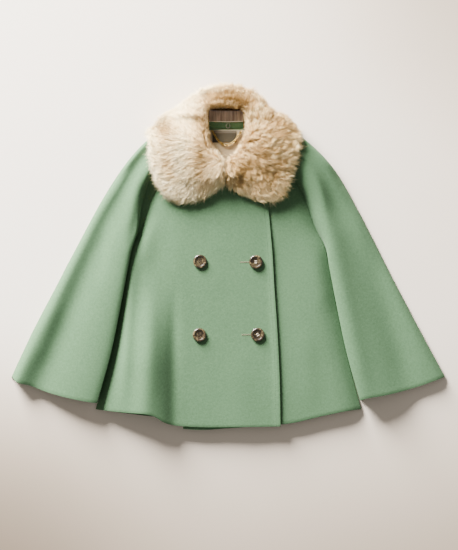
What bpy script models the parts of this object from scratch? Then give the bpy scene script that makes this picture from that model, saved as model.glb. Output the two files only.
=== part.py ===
"""Short double-breasted cape coat with a fur collar, laid flat on its back.

The coat lies on the plane z = 0 with its neck towards +Y, so the wearer's right side is at -X.
Tables and sizes are in millimetres. The cloth panels are thin walls laid over each other:
the back and the under halves of the sleeves rest flat, and the fronts and the upper halves of
the sleeves lie over them with the loft and folds of a laid coat.
"""

import math

import bpy
import numpy as np

MM = 0.001

# Cloth, gaps and lofts
CLOTH = 2.4
LINING = 1.0
LABEL = 0.6
SEAM_GAP = 0.4
LAY_GAP = 0.8
SEAM_LEVEL = 2 * CLOTH + LAY_GAP
BODY_LOFT = 12.0
SIDE_EASE_RIGHT = 30.0
SIDE_EASE_LEFT = 42.0
SWELL = 0.5

# The back of the collar lies under the coat and lifts its neck by this much
NECK_RISE = 13.0
RISE_FROM_Y = 90.0
RISE_TO_Y = 232.0

# Seams that both halves of the coat share, as (distance from the centre line, y)
FRONT_RAGLAN = ((76, 220), (100, 188), (138, 146), (154, 116), (164, 86), (174, 56), (194, 24))
BACK_RAGLAN = ((66, 266), (106, 196), (150, 112), (194, 24))
SIDE_SEAM = ((194, 24), (215, -92), (235.5, -188), (266, -303))
UNDERARM_SEAM = ((194.6, 24), (217.5, -92), (238, -188), (266, -286))
SHOULDER_NECK = (84, 282)

# Outlines that differ from side to side, as (x, y) from the inside of the curve outwards
OVERARM_RIGHT = ((-161, 238), (-205, 190), (-250, 122), (-298, 34), (-346, -58), (-391, -144), (-434, -236))
OVERARM_LEFT = ((155, 236), (210, 181), (251, 112), (288, 41), (323, -29), (360, -100), (397, -170),
                (434, -238))
CUFF_RIGHT = ((-266, -286), (-331, -277), (-364, -268), (-398, -255), (-428, -246), (-434, -236))
CUFF_LEFT = ((266, -286), (288, -277), (325, -272), (381, -257), (434, -238))
CUFF_PEEP = 3.5

# Front edges, necklines and hems, as (x, y)
OVER_EDGE = ((77, 138), (82, 76), (87, 20), (92, -64), (97, -134), (102, -232), (104, -337))
OVER_NECK = ((-76, 220), (-50, 188), (0, 165), (40, 157), (77, 138))
OVER_HEM = ((-266, -303), (-225, -307.5), (-191, -310.5), (-156, -313), (-143, -319), (-129, -329),
            (-115, -334), (-88, -337), (16, -338.5), (104, -337))
UNDER_EDGE = ((-77, 138), (-84, -100), (-91, -342))
UNDER_NECK = ((-77, 138), (-40, 157), (0, 165), (50, 188), (76, 220))
UNDER_HEM = ((-91, -342), (-71, -345.5), (-43, -344), (-7, -341), (63, -337), (107, -333), (136, -330),
             (171, -320), (205, -313), (239, -306), (266, -303))
BACK_NECK = ((-66, 266), (-34, 259.5), (0, 258), (34, 259.5), (66, 266))
BACK_HEM = ((-266, -303), (-150, -318), (0, -326), (150, -318), (266, -303))

# One flute falls from the wearer's right hip to the hem. Its steep flank faces the centre
FLUTE_HEIGHT = 21.0
FLUTE_TOP_Y = -50.0
FLUTE_FULL_Y = -225.0
FLUTE_FLANK = ((-132, -50), (-131, -110), (-127, -220), (-121, -330))
FLUTE_FLANK_HALF = 26.0

# Where the over front climbs on to the under front
OVERLAP_RAMP = (-150.0, -98.0)

# Sleeve sections from the underarm fold (share 0) to the overarm seam (share 1)
# Columns: share, share of the width rolled over the body, height at the shoulder, height at the cuff
SLEEVE_RIGHT = (
    (0.00, 0.000, 0.0, 0.0), (0.02, 0.028, 6.0, 8.0), (0.05, 0.077, 12.0, 15.0),
    (0.09, 0.127, 18.0, 21.5), (0.14, 0.132, 21.5, 24.5), (0.20, 0.110, 22.5, 25.5),
    (0.30, 0.060, 21.0, 24.0), (0.40, 0.020, 17.5, 20.0), (0.50, 0.000, 13.0, 15.0),
    (0.60, 0.000, 9.5, 10.5), (0.68, 0.000, 8.0, 9.0), (0.76, 0.000, 8.0, 12.0),
    (0.84, 0.000, 9.0, 16.5), (0.91, 0.000, 9.5, 18.0), (0.96, 0.000, 7.5, 14.0),
    (1.00, 0.000, 0.0, 0.0),
)
SLEEVE_LEFT = (
    (0.00, 0.000, 0.0, 0.0), (0.02, 0.028, 6.0, 8.0), (0.05, 0.074, 12.0, 15.0),
    (0.09, 0.117, 17.0, 21.0), (0.14, 0.122, 20.5, 24.0), (0.20, 0.100, 22.0, 25.0),
    (0.30, 0.055, 20.5, 23.0), (0.40, 0.020, 16.5, 18.0), (0.50, 0.000, 12.5, 13.0),
    (0.60, 0.000, 10.0, 10.0), (0.70, 0.000, 9.0, 8.5), (0.80, 0.000, 8.5, 8.0),
    (0.90, 0.000, 7.0, 7.0), (0.96, 0.000, 4.5, 5.0), (1.00, 0.000, 0.0, 0.0),
)
# Where that section lies across the sleeve beside the raglan seam: the right sleeve lies low and then
# folds up, the left one climbs slowly. Columns: y, share across of its fold, share across of its crest
CREST = 0.20
FOLD_RIGHT = (
    (30, 0.012, 0.21), (62, 0.10, 0.28), (98, 0.19, 0.35), (136, 0.30, 0.44),
    (170, 0.34, 0.47), (220, 0.30, 0.44),
)
FOLD_LEFT = (
    (30, 0.012, 0.21), (62, 0.016, 0.30), (98, 0.02, 0.42), (136, 0.02, 0.52),
    (170, 0.02, 0.57), (220, 0.02, 0.50),
)
SLEEVE_SHARES = (0, .02, .05, .09, .14, .20, .27, .34, .41, .48, .55, .62, .69, .76, .83, .90, .96, 1)
VALLEY_SHARES = (0.0, 0.5)
VALLEY_RISE = 1.5
SLEEVE_ROWS = 21
SLEEVE_RAGLAN_ROWS = 10
ROLL_RIGHT = (0.25, 0.40)
ROLL_LEFT = (0.36, 0.46)
SHOULDER_AT = 0.25
NECK_SHARE_OF_LOFT = 0.25

# Fur collar, one half, from its front end to the centre of the back
# Columns: roll line x and y, fullest point x and y, outer edge x and y, share wrapped under the back
COLLAR_CENTRE_X = -5.0
COLLAR = (
    (4, 190, 3, 171, 2, 151, 0.0), (8, 202, 22, 165, 34, 125, 0.0), (19, 213, 46, 162, 70, 106, 0.0),
    (28, 224, 70, 168, 110, 109, 0.0), (33, 238, 90, 192, 138, 148, 0.0), (35, 252, 100, 224, 145, 194, 0.0),
    (36, 266, 110, 248, 152, 231, 0.0), (37, 278, 124, 266, 156, 253, 0.3), (37, 288, 131, 283, 145, 268, 0.8),
    (36, 294, 122, 296, 118, 266, 1.0), (33, 298, 97, 313, 90, 253, 1.0), (25, 300, 67, 332, 60, 246, 1.0),
    (13, 300, 34, 347.4, 30, 241, 1.0), (0, 300, 0, 351.4, 0, 239, 1.0),
)
COLLAR_STEPS = 2
COLLAR_EASINGS = 4
COLLAR_DEPTH = 25.0
COLLAR_EDGE_DEPTH = 8.0
COLLAR_WRAP_DEPTH = 12.0
COLLAR_CREST_Z = 47.0
COLLAR_ROLL_Z = 36.0
COLLAR_BACK_Z = 23.0
COLLAR_ACROSS = 10
COLLAR_BED = 15.0
BED_REACH = 24.0

# Bands inside the back of the neck: half width, then lower and upper edge above the neck seam
NECK_SLOPE = 0.5
NECK_BAND = (34.5, 0.4, 13.0)
COLLAR_FACING = (34.5, 13.4, 35.5)
LINING_PANEL = (56.0, 96.0, 256.5)
LABEL_PANEL = (-8.0, 24.0, 231.0, 255.0)

# Hanging chain and the eye that holds the fur collar on
CHAIN_ENDS = ((-33.0, 255.0), (25.5, 255.0))
CHAIN_SAG = 29.0
CHAIN_RADIUS = 2.0
CHAIN_LINKS = 17
EYE_WIRE = 0.7
EYE_RADIUS = 4.0
EYE_CENTRE = (-1.0, 264.0)
EYE_LEG_SPREAD = 2.0

# Buttons, as (x, y)
BUTTONS = {"button_right_upper": (-57, -7), "button_left_upper": (55, -8),
           "button_right_lower": (-58, -154), "button_left_lower": (58.5, -153.5)}
BUTTON_RADIUS = 13.8
BUTTON_HEIGHT = 4.6
BUTTON_DISH = 1.5
BUTTON_HOLE_RADIUS = 1.2
BUTTON_HOLE_RING = 2.7
BUTTON_SIDES = 24
HOLE_SIDES = 6

FINISHES = {
    "wool": ((0.300, 0.430, 0.290), 0.95, 0.0),
    "fur": ((0.700, 0.540, 0.370), 1.0, 0.0),
    "satin": ((0.180, 0.120, 0.085), 0.40, 0.0),
    "lining": ((0.720, 0.670, 0.580), 0.50, 0.0),
    "label": ((0.300, 0.270, 0.200), 0.55, 0.0),
    "horn": ((0.230, 0.140, 0.070), 0.30, 0.0),
    "brass": ((0.620, 0.430, 0.140), 0.30, 1.0),
    "steel": ((0.400, 0.380, 0.360), 0.35, 1.0),
}


# Curves and grids

def smooth(value):
    """0 below 0, 1 above 1, and a soft step between."""
    value = np.clip(value, 0.0, 1.0)
    return value * value * (3.0 - 2.0 * value)


def through(places, rows, at):
    """The rows, given at these places, read smoothly at other places."""
    places, rows, at = np.asarray(places, float), np.asarray(rows, float), np.asarray(at, float)
    slopes = np.gradient(rows, places, axis=0)
    k = np.clip(np.searchsorted(places, at, side="right") - 1, 0, len(places) - 2)
    step = places[k + 1] - places[k]
    t = (at - places[k]) / step
    if rows.ndim > 1:
        t, step = t[:, None], step[:, None]
    return ((1 + 2 * t) * (1 - t) ** 2 * rows[k] + t * (1 - t) ** 2 * step * slopes[k]
            + t * t * (3 - 2 * t) * rows[k + 1] + t * t * (t - 1) * step * slopes[k + 1])


def curve(points, shares):
    """Points at these shares of the length of a smooth curve through the given ones."""
    points = np.asarray(points, float)
    chords = np.concatenate([[0.0], np.cumsum(np.linalg.norm(np.diff(points, axis=0), axis=1))])
    fine = through(chords, points, np.linspace(0.0, chords[-1], 240))
    run = np.concatenate([[0.0], np.cumsum(np.linalg.norm(np.diff(fine, axis=0), axis=1))])
    at = np.asarray(shares, float) * run[-1]
    return np.stack([np.interp(at, run, fine[:, c]) for c in range(fine.shape[1])], axis=1)


def even(count):
    return np.linspace(0.0, 1.0, count + 1)


def chain_of(first, second, rows_of_first, rows):
    """One side of a panel that runs along two seams with a corner between them."""
    upper = curve(first, even(rows_of_first))
    lower = curve(second, even(rows - rows_of_first))
    return np.concatenate([upper, lower[1:]])


def on_side(points, side):
    return [(side * x, y) for x, y in points]


def patch(top, bottom, left, right, across, down):
    """A grid between four edges: rows run from top to bottom and columns from left to right."""
    u, v = np.asarray(across)[None, :, None], np.asarray(down)[:, None, None]
    ruled = (1 - v) * top[None] + v * bottom[None] + (1 - u) * left[:, None] + u * right[:, None]
    corners = ((1 - u) * (1 - v) * top[0] + u * (1 - v) * top[-1]
               + (1 - u) * v * bottom[0] + u * v * bottom[-1])
    return ruled - corners


def shares_of(edge):
    run = np.concatenate([[0.0], np.cumsum(np.linalg.norm(np.diff(edge, axis=0), axis=1))])
    return run / run[-1]


# Heights of the laid coat

def back_rise(y):
    """How far the neck is lifted by the fur that lies under it."""
    return NECK_RISE * smooth((y - RISE_FROM_Y) / (RISE_TO_Y - RISE_FROM_Y))


def body_edge(y):
    """Distance of the raglan and side seams from the centre line."""
    rows = np.concatenate([curve(FRONT_RAGLAN, even(40)), curve(SIDE_SEAM, even(40))[1:]])[::-1]
    return np.interp(y, rows[:, 1], rows[:, 0])


def swell(x, y):
    """The slow unevenness of cloth that lies on cloth."""
    return SWELL * (np.sin(x / 47.0 + 0.6) * np.sin(y / 61.0) + 0.6 * np.sin(x / 23.0 - y / 83.0))


def under_top(x, y):
    """Upper side of the front that lies beneath."""
    edge = body_edge(y)
    ease = np.where(x < 0.0, SIDE_EASE_RIGHT, SIDE_EASE_LEFT)
    inside = 1.0 - (1.0 - np.clip((edge - np.abs(x)) / ease, 0.0, 1.0)) ** 2
    return back_rise(y) + SEAM_LEVEL + inside * (BODY_LOFT + swell(x, y))


def flute(x, y):
    flank = np.interp(-y, [-row[1] for row in FLUTE_FLANK], [row[0] for row in FLUTE_FLANK])
    reach = smooth((FLUTE_TOP_Y - y) / (FLUTE_TOP_Y - FLUTE_FULL_Y))
    crest = smooth((flank + FLUTE_FLANK_HALF - x) / (2 * FLUTE_FLANK_HALF))
    climb = smooth((x + body_edge(y)) / (body_edge(y) + flank - FLUTE_FLANK_HALF))
    return FLUTE_HEIGHT * reach * crest * climb


def over_top(x, y):
    """Upper side of the front that laps over."""
    low, high = OVERLAP_RAMP
    return under_top(x, y) + (CLOTH + SEAM_GAP) * smooth((x - low) / (high - low)) + flute(x, y)


# Solids

def finish_of(name):
    colour, roughness, metallic = FINISHES[name]
    material = bpy.data.materials.get(name)
    if material is None:
        material = bpy.data.materials.new(name)
        material.use_nodes = True
        shader = material.node_tree.nodes["Principled BSDF"]
        shader.inputs["Base Color"].default_value = (*colour, 1.0)
        shader.inputs["Roughness"].default_value = roughness
        shader.inputs["Metallic"].default_value = metallic
    return material


def add_solid(name, points, faces, finish, smooth_angle=40.0):
    mesh = bpy.data.meshes.new(name)
    mesh.from_pydata([tuple(p) for p in np.asarray(points, float) * MM], [], faces)
    mesh.materials.append(finish_of(finish))
    mesh.shade_smooth()
    mesh.set_sharp_from_angle(angle=math.radians(smooth_angle))
    solid = bpy.data.objects.new(name, mesh)
    bpy.context.scene.collection.objects.link(solid)
    return solid


def outward(surface):
    """Unit normals of a grid of points whose rows run down and columns run right."""
    normal = np.cross(np.gradient(surface, axis=1), -np.gradient(surface, axis=0))
    return normal / np.linalg.norm(normal, axis=2, keepdims=True)


def between(name, outer, inner, finish):
    """The closed wall between two grids of the same shape."""
    rows, columns = outer.shape[:2]
    count = rows * columns
    index = np.arange(count).reshape(rows, columns)
    a, b = index[:-1, :-1].ravel(), index[1:, :-1].ravel()
    c, d = index[1:, 1:].ravel(), index[:-1, 1:].ravel()
    faces = [tuple(f) for f in np.stack([a, b, c, d], axis=1)]
    faces += [tuple(f) for f in np.stack([a, d, c, b], axis=1) + count]
    rim = np.concatenate([index[0, :-1], index[:-1, -1], index[-1, :0:-1], index[:0:-1, 0]])
    for first, second in zip(rim, np.roll(rim, -1)):
        faces.append((first, second, second + count, first + count))
    points = np.concatenate([outer.reshape(-1, 3), inner.reshape(-1, 3)])
    return add_solid(name, points.tolist(), [tuple(int(i) for i in f) for f in faces], finish)


def wall(name, outer, depth, finish, upright=True):
    """A cloth wall under an outer surface. Its side edges stand upright so that seams can butt."""
    direction = outward(outer)
    if upright:
        direction[:, 0] = direction[:, -1] = (0.0, 0.0, 1.0)
    return between(name, outer, outer - depth * direction, finish)


def lifted(plan, height):
    return np.concatenate([plan, height[..., None]], axis=2)


# Fronts and back

def body_side(raglan, side, raglan_rows, rows):
    return chain_of(on_side(raglan, side), on_side(SIDE_SEAM, side), raglan_rows, rows)


def make_over_front():
    rows = 22
    across = np.array([0, .03, .07, .12, .18, .24, .29, .33, .37, .41, .45, .5, .58, .66, .75, .84, .93, 1])
    left = body_side(FRONT_RAGLAN, -1, 10, rows)
    down = shares_of(left)
    right = curve(OVER_EDGE, down)
    plan = patch(curve(OVER_NECK, across), curve(OVER_HEM, across), left, right, across, down)
    surface = lifted(plan, over_top(plan[..., 0], plan[..., 1]))
    wall("front_right", surface, CLOTH, "wool")
    return surface


def make_under_front():
    rows = 20
    across = np.array([0, .1, .2, .3, .4, .5, .6, .68, .76, .83, .89, .94, .97, 1])
    right = body_side(FRONT_RAGLAN, 1, 10, rows)
    down = shares_of(right)
    left = curve(UNDER_EDGE, down)
    plan = patch(curve(UNDER_NECK, across), curve(UNDER_HEM, across), left, right, across, down)
    surface = lifted(plan, under_top(plan[..., 0], plan[..., 1]))
    wall("front_left", surface, CLOTH, "wool")
    return surface


def make_back():
    across, rows = even(12), 18
    left, right = body_side(BACK_RAGLAN, -1, 15, rows), body_side(BACK_RAGLAN, 1, 15, rows)
    down = shares_of(left)
    plan = patch(curve(BACK_NECK, across), curve(BACK_HEM, across), left, right, across, down)
    rise = back_rise(plan[..., 1])
    between("back", lifted(plan, rise + CLOTH), lifted(plan, rise), "wool")


# Sleeves

def sleeve_edges(side, raglan, overarm):
    """Inner and outer edges of half a sleeve, and the share of each row along it."""
    shifted = [(x + SEAM_GAP * 1.5, y) for x, y in raglan]
    inner = chain_of(on_side(shifted, side), on_side(UNDERARM_SEAM, side), SLEEVE_RAGLAN_ROWS, SLEEVE_ROWS)
    down = shares_of(inner)
    shoulder = (side * SHOULDER_NECK[0], SHOULDER_NECK[1])
    return inner, curve((shoulder, *overarm), down), down


def sleeve_plan(inner, outer, cuff, share, down):
    """Places across and down half a sleeve, whose cuff bends away from a straight line."""
    u, v = share[..., None], down[:, None, None]
    straight = (1 - u) * inner[-1] + u * outer[-1]
    return (1 - u) * inner[:, None] + u * outer[:, None] + v * (cuff - straight)


def in_columns_to_the_right(grid, side):
    """Columns run from the underarm outwards, which is leftwards on the right sleeve."""
    return grid[:, ::-1] if side < 0 else grid


def make_sleeve_front(name, side, overarm, cuff, profile, fold, roll_rows):
    inner, outer, down = sleeve_edges(side, FRONT_RAGLAN, overarm)
    section = np.array(SLEEVE_SHARES)
    rows = np.array(fold)
    low = np.interp(inner[:, 1], rows[:, 0], rows[:, 1])[:, None]
    crest = np.interp(inner[:, 1], rows[:, 0], rows[:, 2])[:, None]
    before = low + (crest - low) * section / CREST
    after = crest + (1.0 - crest) * (section - CREST) / (1.0 - CREST)
    share = np.where(section < CREST, before, after)
    share = np.concatenate([low * np.array(VALLEY_SHARES), share], axis=1)
    hem = curve(cuff, share.ravel()).reshape(*share.shape, 2)
    plan = sleeve_plan(inner, outer, hem, share, down)

    columns = through([row[0] for row in profile], [row[1:] for row in profile], section)
    columns = np.concatenate([np.zeros((len(VALLEY_SHARES), 3)), columns])
    roll, shoulder, wrist = columns.T
    blend = smooth((down - SHOULDER_AT) / (1.0 - SHOULDER_AT))[:, None]
    fade = (NECK_SHARE_OF_LOFT + (1.0 - NECK_SHARE_OF_LOFT) * smooth(down / SHOULDER_AT))[:, None]
    height = fade * ((1.0 - blend) * shoulder + blend * wrist)
    height += VALLEY_RISE * np.clip(low / 0.1, 0.0, 1.0) * np.minimum(share / low, 1.0) * (1.0 - share)
    rolled = smooth((down - roll_rows[0]) / (roll_rows[1] - roll_rows[0]))[:, None] * roll
    surface = lifted(plan + rolled[..., None] * (inner - outer)[:, None], height)
    surface[..., 2] += back_rise(plan[..., 1]) + SEAM_LEVEL
    surface = in_columns_to_the_right(surface, side)
    wall(name, surface, CLOTH, "wool")
    return surface


def make_sleeve_back(name, side, overarm, cuff):
    inner, outer, down = sleeve_edges(side, BACK_RAGLAN, overarm)
    shares = np.array(SLEEVE_SHARES)[::4]
    hem = curve(cuff, shares)
    hem[1:-1, 1] += 1.5 - (1.5 + CUFF_PEEP) * np.exp(-((shares[1:-1] - 0.38) / 0.11) ** 2)
    plan = sleeve_plan(inner, outer, hem, np.tile(shares, (len(down), 1)), down)
    plan = in_columns_to_the_right(plan, side)
    rise = back_rise(plan[..., 1])
    between(name, lifted(plan, rise + CLOTH), lifted(plan, rise), "wool")


# Fur collar

def bed_under(surfaces):
    """A function for the height of the coat beneath a place on it."""
    points = np.concatenate([s.reshape(-1, 3) for s in surfaces])

    def bed(x, y):
        near = np.hypot(points[:, 0] - x, points[:, 1] - y) < BED_REACH
        ground = float(back_rise(np.float64(y))) + SEAM_LEVEL
        return max(ground, points[near, 2].max()) if near.any() else ground

    return bed


def eased(values):
    """Neighbouring rows evened out without falling below any of them."""
    padded = np.concatenate([values[:1], values, values[-1:]])
    highest = np.maximum(np.maximum(padded[:-2], padded[1:-1]), padded[2:])
    padded = np.concatenate([highest[:1], highest, highest[-1:]])
    return (padded[:-2] + padded[1:-1] + padded[2:]) / 3.0


def relaxed(rows, times):
    """Rows drawn towards their neighbours, with the two end rows kept."""
    rows = rows.copy()
    for _ in range(times):
        rows[1:-1] = (rows[:-2] + 2.0 * rows[1:-1] + rows[2:]) / 4.0
    return rows


def collar_section(row):
    """Outer points of the collar across one station, from the roll line to the outer edge."""
    roll, full, edge, wrap = row[0:2], row[2:4], row[4:6], row[6]
    bed_roll, bed_full, bed_edge = (back_rise(p[1]) + SEAM_LEVEL + COLLAR_BED for p in (roll, full, edge))
    crest = roll + (full - roll) * 0.38
    under = full + (edge - full) * (0.55 - 0.25 * wrap)
    flat_z = (bed_roll + 12, bed_full + COLLAR_DEPTH * 0.93, bed_full + COLLAR_DEPTH,
              bed_edge + COLLAR_DEPTH * 0.72, bed_edge + COLLAR_EDGE_DEPTH)
    wrap_z = (COLLAR_ROLL_Z, COLLAR_CREST_Z, COLLAR_BACK_Z, 0.0, 0.0)
    z = [(1 - wrap) * a + wrap * b for a, b in zip(flat_z, wrap_z)]
    controls = [(*p, h) for p, h in zip((roll, crest, full, under, edge), z)]
    outer = curve(controls, even(COLLAR_ACROSS))
    outer[:, 2] = np.maximum(outer[:, 2], 0.0)
    return outer


def collar_rows():
    """The stations of both halves, from front end to front end, with steps between them."""
    half = np.array(COLLAR, float)
    right, left = half.copy(), half[-2::-1].copy()
    right[:, 0:6:2] *= -1.0
    whole = np.concatenate([right, left])
    whole[:, 0:6:2] += COLLAR_CENTRE_X
    last = len(whole) - 1
    rows = through(range(last + 1), whole, np.linspace(0, last, last * COLLAR_STEPS + 1))
    rows[:, 6] = np.clip(rows[:, 6], 0.0, 1.0)
    return rows


def make_collar(surfaces):
    bed = bed_under(surfaces)
    rows = collar_rows()
    outer = relaxed(np.array([collar_section(row) for row in rows]), COLLAR_EASINGS)
    seat = np.array([[bed(x, y) + SEAM_GAP for x, y in line[:, :2]] for line in outer])
    seat = eased(eased(seat.T).T)
    wrap = smooth(rows[:, 6])[:, None]
    taper = np.sin(np.pi * np.linspace(0.12, 0.80, outer.shape[1]))[None]
    folded = outer - (COLLAR_WRAP_DEPTH * taper)[..., None] * outward(outer)
    resting = outer.copy()
    resting[..., 2] = seat
    inner = (1 - wrap)[..., None] * resting + wrap[..., None] * folded
    inner[..., 2] = np.maximum(inner[..., 2], 0.0)
    between("fur_collar", outer, inner, "fur")


# Inside of the neck

def neck_seam(x):
    """Place along Y of the back neck seam."""
    seam = curve(BACK_NECK, even(40))
    return np.interp(x, seam[:, 0], seam[:, 1])


def neck_height(x, y):
    """Height of the slope from the back neck seam up to the fur."""
    return NECK_RISE + NECK_SLOPE * (y - neck_seam(x))


def make_neck_strip(name, half_width, low, high, finish, columns=8, rows=3):
    """A band across the back of the neck, bowed like the neck seam."""
    x = np.linspace(-half_width, half_width, columns + 1) + COLLAR_CENTRE_X
    y = np.linspace(high, low, rows + 1)
    plan = np.stack(np.broadcast_arrays(x[None], y[:, None] + neck_seam(x)[None]), axis=2)
    surface = lifted(plan, neck_height(plan[..., 0], plan[..., 1]) + CLOTH)
    wall(name, surface, CLOTH, finish, upright=False)


def make_laid_sheet(name, left, right, low, high, base, depth, finish, columns, rows):
    """A rectangle of thin cloth that follows the rise of the back."""
    x = np.linspace(left, right, columns + 1)
    y = np.linspace(high, low, rows + 1)
    plan = np.stack(np.broadcast_arrays(x[None], y[:, None]), axis=2)
    rise = back_rise(plan[..., 1]) + base
    between(name, lifted(plan, rise + depth), lifted(plan, rise), finish)


def lining_base():
    return CLOTH + SEAM_GAP


def label_base():
    return lining_base() + LINING + SEAM_GAP


def make_neck_inside():
    make_neck_strip("neck_band", *NECK_BAND, "wool")
    make_neck_strip("collar_facing", *COLLAR_FACING, "satin")
    half, low, high = LINING_PANEL
    make_laid_sheet("back_lining", COLLAR_CENTRE_X - half, COLLAR_CENTRE_X + half, low, high,
                    lining_base(), LINING, "lining", 2, 14)
    middle, half, low, high = LABEL_PANEL
    make_laid_sheet("label", middle - half, middle + half, low, high, label_base(), LABEL, "label", 2, 4)


def add_wire(name, points, radius, finish, radii=None):
    """A wire or cord of round section along points, with closed ends."""
    data = bpy.data.curves.new(name, "CURVE")
    data.dimensions = "3D"
    data.bevel_depth = radius * MM
    data.bevel_resolution = 1
    data.use_fill_caps = True
    line = data.splines.new("POLY")
    line.points.add(len(points) - 1)
    for i, (slot, place) in enumerate(zip(line.points, points)):
        slot.co = (*(np.asarray(place) * MM), 1.0)
        slot.radius = 1.0 if radii is None else radii[i]
    data.materials.append(finish_of(finish))
    wire = bpy.data.objects.new(name, data)
    bpy.context.scene.collection.objects.link(wire)
    return wire


def make_chain():
    """The hanging chain lies in a bow on the label, each link a swelling of the cord."""
    (x0, y0), (x1, y1) = CHAIN_ENDS
    share = even(CHAIN_LINKS * 3)
    x = x0 + (x1 - x0) * share
    y = y0 + (y1 - y0) * share - CHAIN_SAG * 4 * share * (1 - share)
    z = back_rise(y) + label_base() + LABEL + SEAM_GAP + CHAIN_RADIUS
    radii = 0.82 + 0.18 * np.cos(2 * np.pi * CHAIN_LINKS * share)
    add_wire("hanging_chain", np.stack([x, y, z], axis=1), CHAIN_RADIUS, "brass", radii)


def make_eye():
    """A wire eye: two legs from the collar facing run down to a round loop."""
    turn = np.linspace(math.radians(115), math.radians(425), 15)
    loop = np.stack([EYE_RADIUS * np.cos(turn), EYE_RADIUS * np.sin(turn)], axis=1)
    top = neck_seam(EYE_CENTRE[0]) + COLLAR_FACING[1] - EYE_CENTRE[1] - SEAM_GAP - EYE_WIRE
    plan = np.concatenate([[(-EYE_LEG_SPREAD, top)], loop, [(EYE_LEG_SPREAD, top)]]) + EYE_CENTRE
    z = neck_height(plan[:, 0], plan[:, 1]) + CLOTH + SEAM_GAP + EYE_WIRE * math.hypot(1.0, NECK_SLOPE)
    add_wire("collar_eye", np.column_stack([plan, z]), EYE_WIRE, "steel")


# Buttons

def make_button(name, x, y):
    """A turned four-hole button: a rounded rim round a shallow dish."""
    turn = np.linspace(0, 2 * np.pi, 12, endpoint=False)
    reach = BUTTON_RADIUS * np.array([0.0, 0.5, 1.0])[:, None]
    base = over_top(x + reach * np.cos(turn), y + reach * np.sin(turn)).max() + SEAM_GAP
    r, h = BUTTON_RADIUS, BUTTON_HEIGHT
    profile = [(0.0, h - BUTTON_DISH), (r * 0.52, h - BUTTON_DISH), (r * 0.66, h - 0.3), (r * 0.80, h),
               (r * 0.94, h - 0.6), (r, h - 1.8), (r * 0.92, h * 0.3), (r * 0.70, 0.0), (0.0, 0.0)]
    rings = np.linspace(0, 2 * np.pi, BUTTON_SIDES, endpoint=False)
    points = [(x, y, base + profile[0][1])]
    for radius, height in profile[1:-1]:
        points += [(x + radius * math.cos(a), y + radius * math.sin(a), base + height) for a in rings]
    points.append((x, y, base))
    last, n = len(points) - 1, BUTTON_SIDES
    faces = [(0, 1 + i, 1 + (i + 1) % n) for i in range(n)]
    for k in range(len(profile) - 3):
        a, b = 1 + k * n, 1 + (k + 1) * n
        faces += [(a + i, b + i, b + (i + 1) % n, a + (i + 1) % n) for i in range(n)]
    a = 1 + (len(profile) - 3) * n
    faces += [(last, a + (i + 1) % n, a + i) for i in range(n)]
    button = add_solid(name, points, faces, "horn")
    for k in range(4):
        angle = math.pi / 4 + k * math.pi / 2
        place = (x + BUTTON_HOLE_RING * math.cos(angle), y + BUTTON_HOLE_RING * math.sin(angle), base + h / 2)
        bore(button, f"{name}_bore_{k}", place, BUTTON_HOLE_RADIUS, 3 * h)


def bore(solid, name, place, radius, length):
    bpy.ops.mesh.primitive_cylinder_add(vertices=HOLE_SIDES, radius=radius * MM, depth=length * MM,
                                        location=[c * MM for c in place])
    cutter = bpy.context.object
    cutter.name = name
    cutter.hide_render = True
    cutter.display_type = "WIRE"
    cut = solid.modifiers.new(name, "BOOLEAN")
    cut.operation = "DIFFERENCE"
    cut.object = cutter


def make_coat():
    for old in list(bpy.data.objects):
        bpy.data.objects.remove(old)
    make_back()
    make_sleeve_back("sleeve_right_back", -1, OVERARM_RIGHT, CUFF_RIGHT)
    make_sleeve_back("sleeve_left_back", 1, OVERARM_LEFT, CUFF_LEFT)
    upper = [
        make_under_front(),
        make_over_front(),
        make_sleeve_front("sleeve_right_front", -1, OVERARM_RIGHT, CUFF_RIGHT, SLEEVE_RIGHT, FOLD_RIGHT,
                          ROLL_RIGHT),
        make_sleeve_front("sleeve_left_front", 1, OVERARM_LEFT, CUFF_LEFT, SLEEVE_LEFT, FOLD_LEFT,
                          ROLL_LEFT),
    ]
    make_collar(upper)
    make_neck_inside()
    make_chain()
    make_eye()
    for name, (x, y) in BUTTONS.items():
        make_button(name, x, y)


make_coat()
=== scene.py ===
"""A short wool cape coat with a fur collar, laid flat: its looks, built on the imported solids."""

import math
import bpy
import numpy as np
from mathutils import Matrix, Vector
from mathutils.bvhtree import BVHTree
from mathutils.kdtree import KDTree


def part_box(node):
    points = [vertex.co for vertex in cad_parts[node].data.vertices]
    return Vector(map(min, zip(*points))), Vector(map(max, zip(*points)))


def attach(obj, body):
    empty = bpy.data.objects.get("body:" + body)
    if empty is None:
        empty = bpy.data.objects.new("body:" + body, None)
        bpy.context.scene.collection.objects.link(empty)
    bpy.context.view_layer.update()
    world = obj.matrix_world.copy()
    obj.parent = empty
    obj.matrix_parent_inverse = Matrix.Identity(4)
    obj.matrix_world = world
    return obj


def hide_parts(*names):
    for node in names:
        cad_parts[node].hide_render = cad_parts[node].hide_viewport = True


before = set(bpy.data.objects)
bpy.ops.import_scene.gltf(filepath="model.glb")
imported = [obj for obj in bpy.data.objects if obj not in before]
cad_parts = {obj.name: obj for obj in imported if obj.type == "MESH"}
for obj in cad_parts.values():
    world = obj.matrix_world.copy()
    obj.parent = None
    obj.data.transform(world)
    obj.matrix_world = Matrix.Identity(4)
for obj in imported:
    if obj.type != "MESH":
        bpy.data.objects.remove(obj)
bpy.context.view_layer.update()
MM = 0.001


# Back panel
# Sage-green wool melton, a fulled cloth with a short brushed nap, cut as one flared piece.
# It lies flat on the surface and carries the rest; its neck edge rises over the collar's roll.

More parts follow.
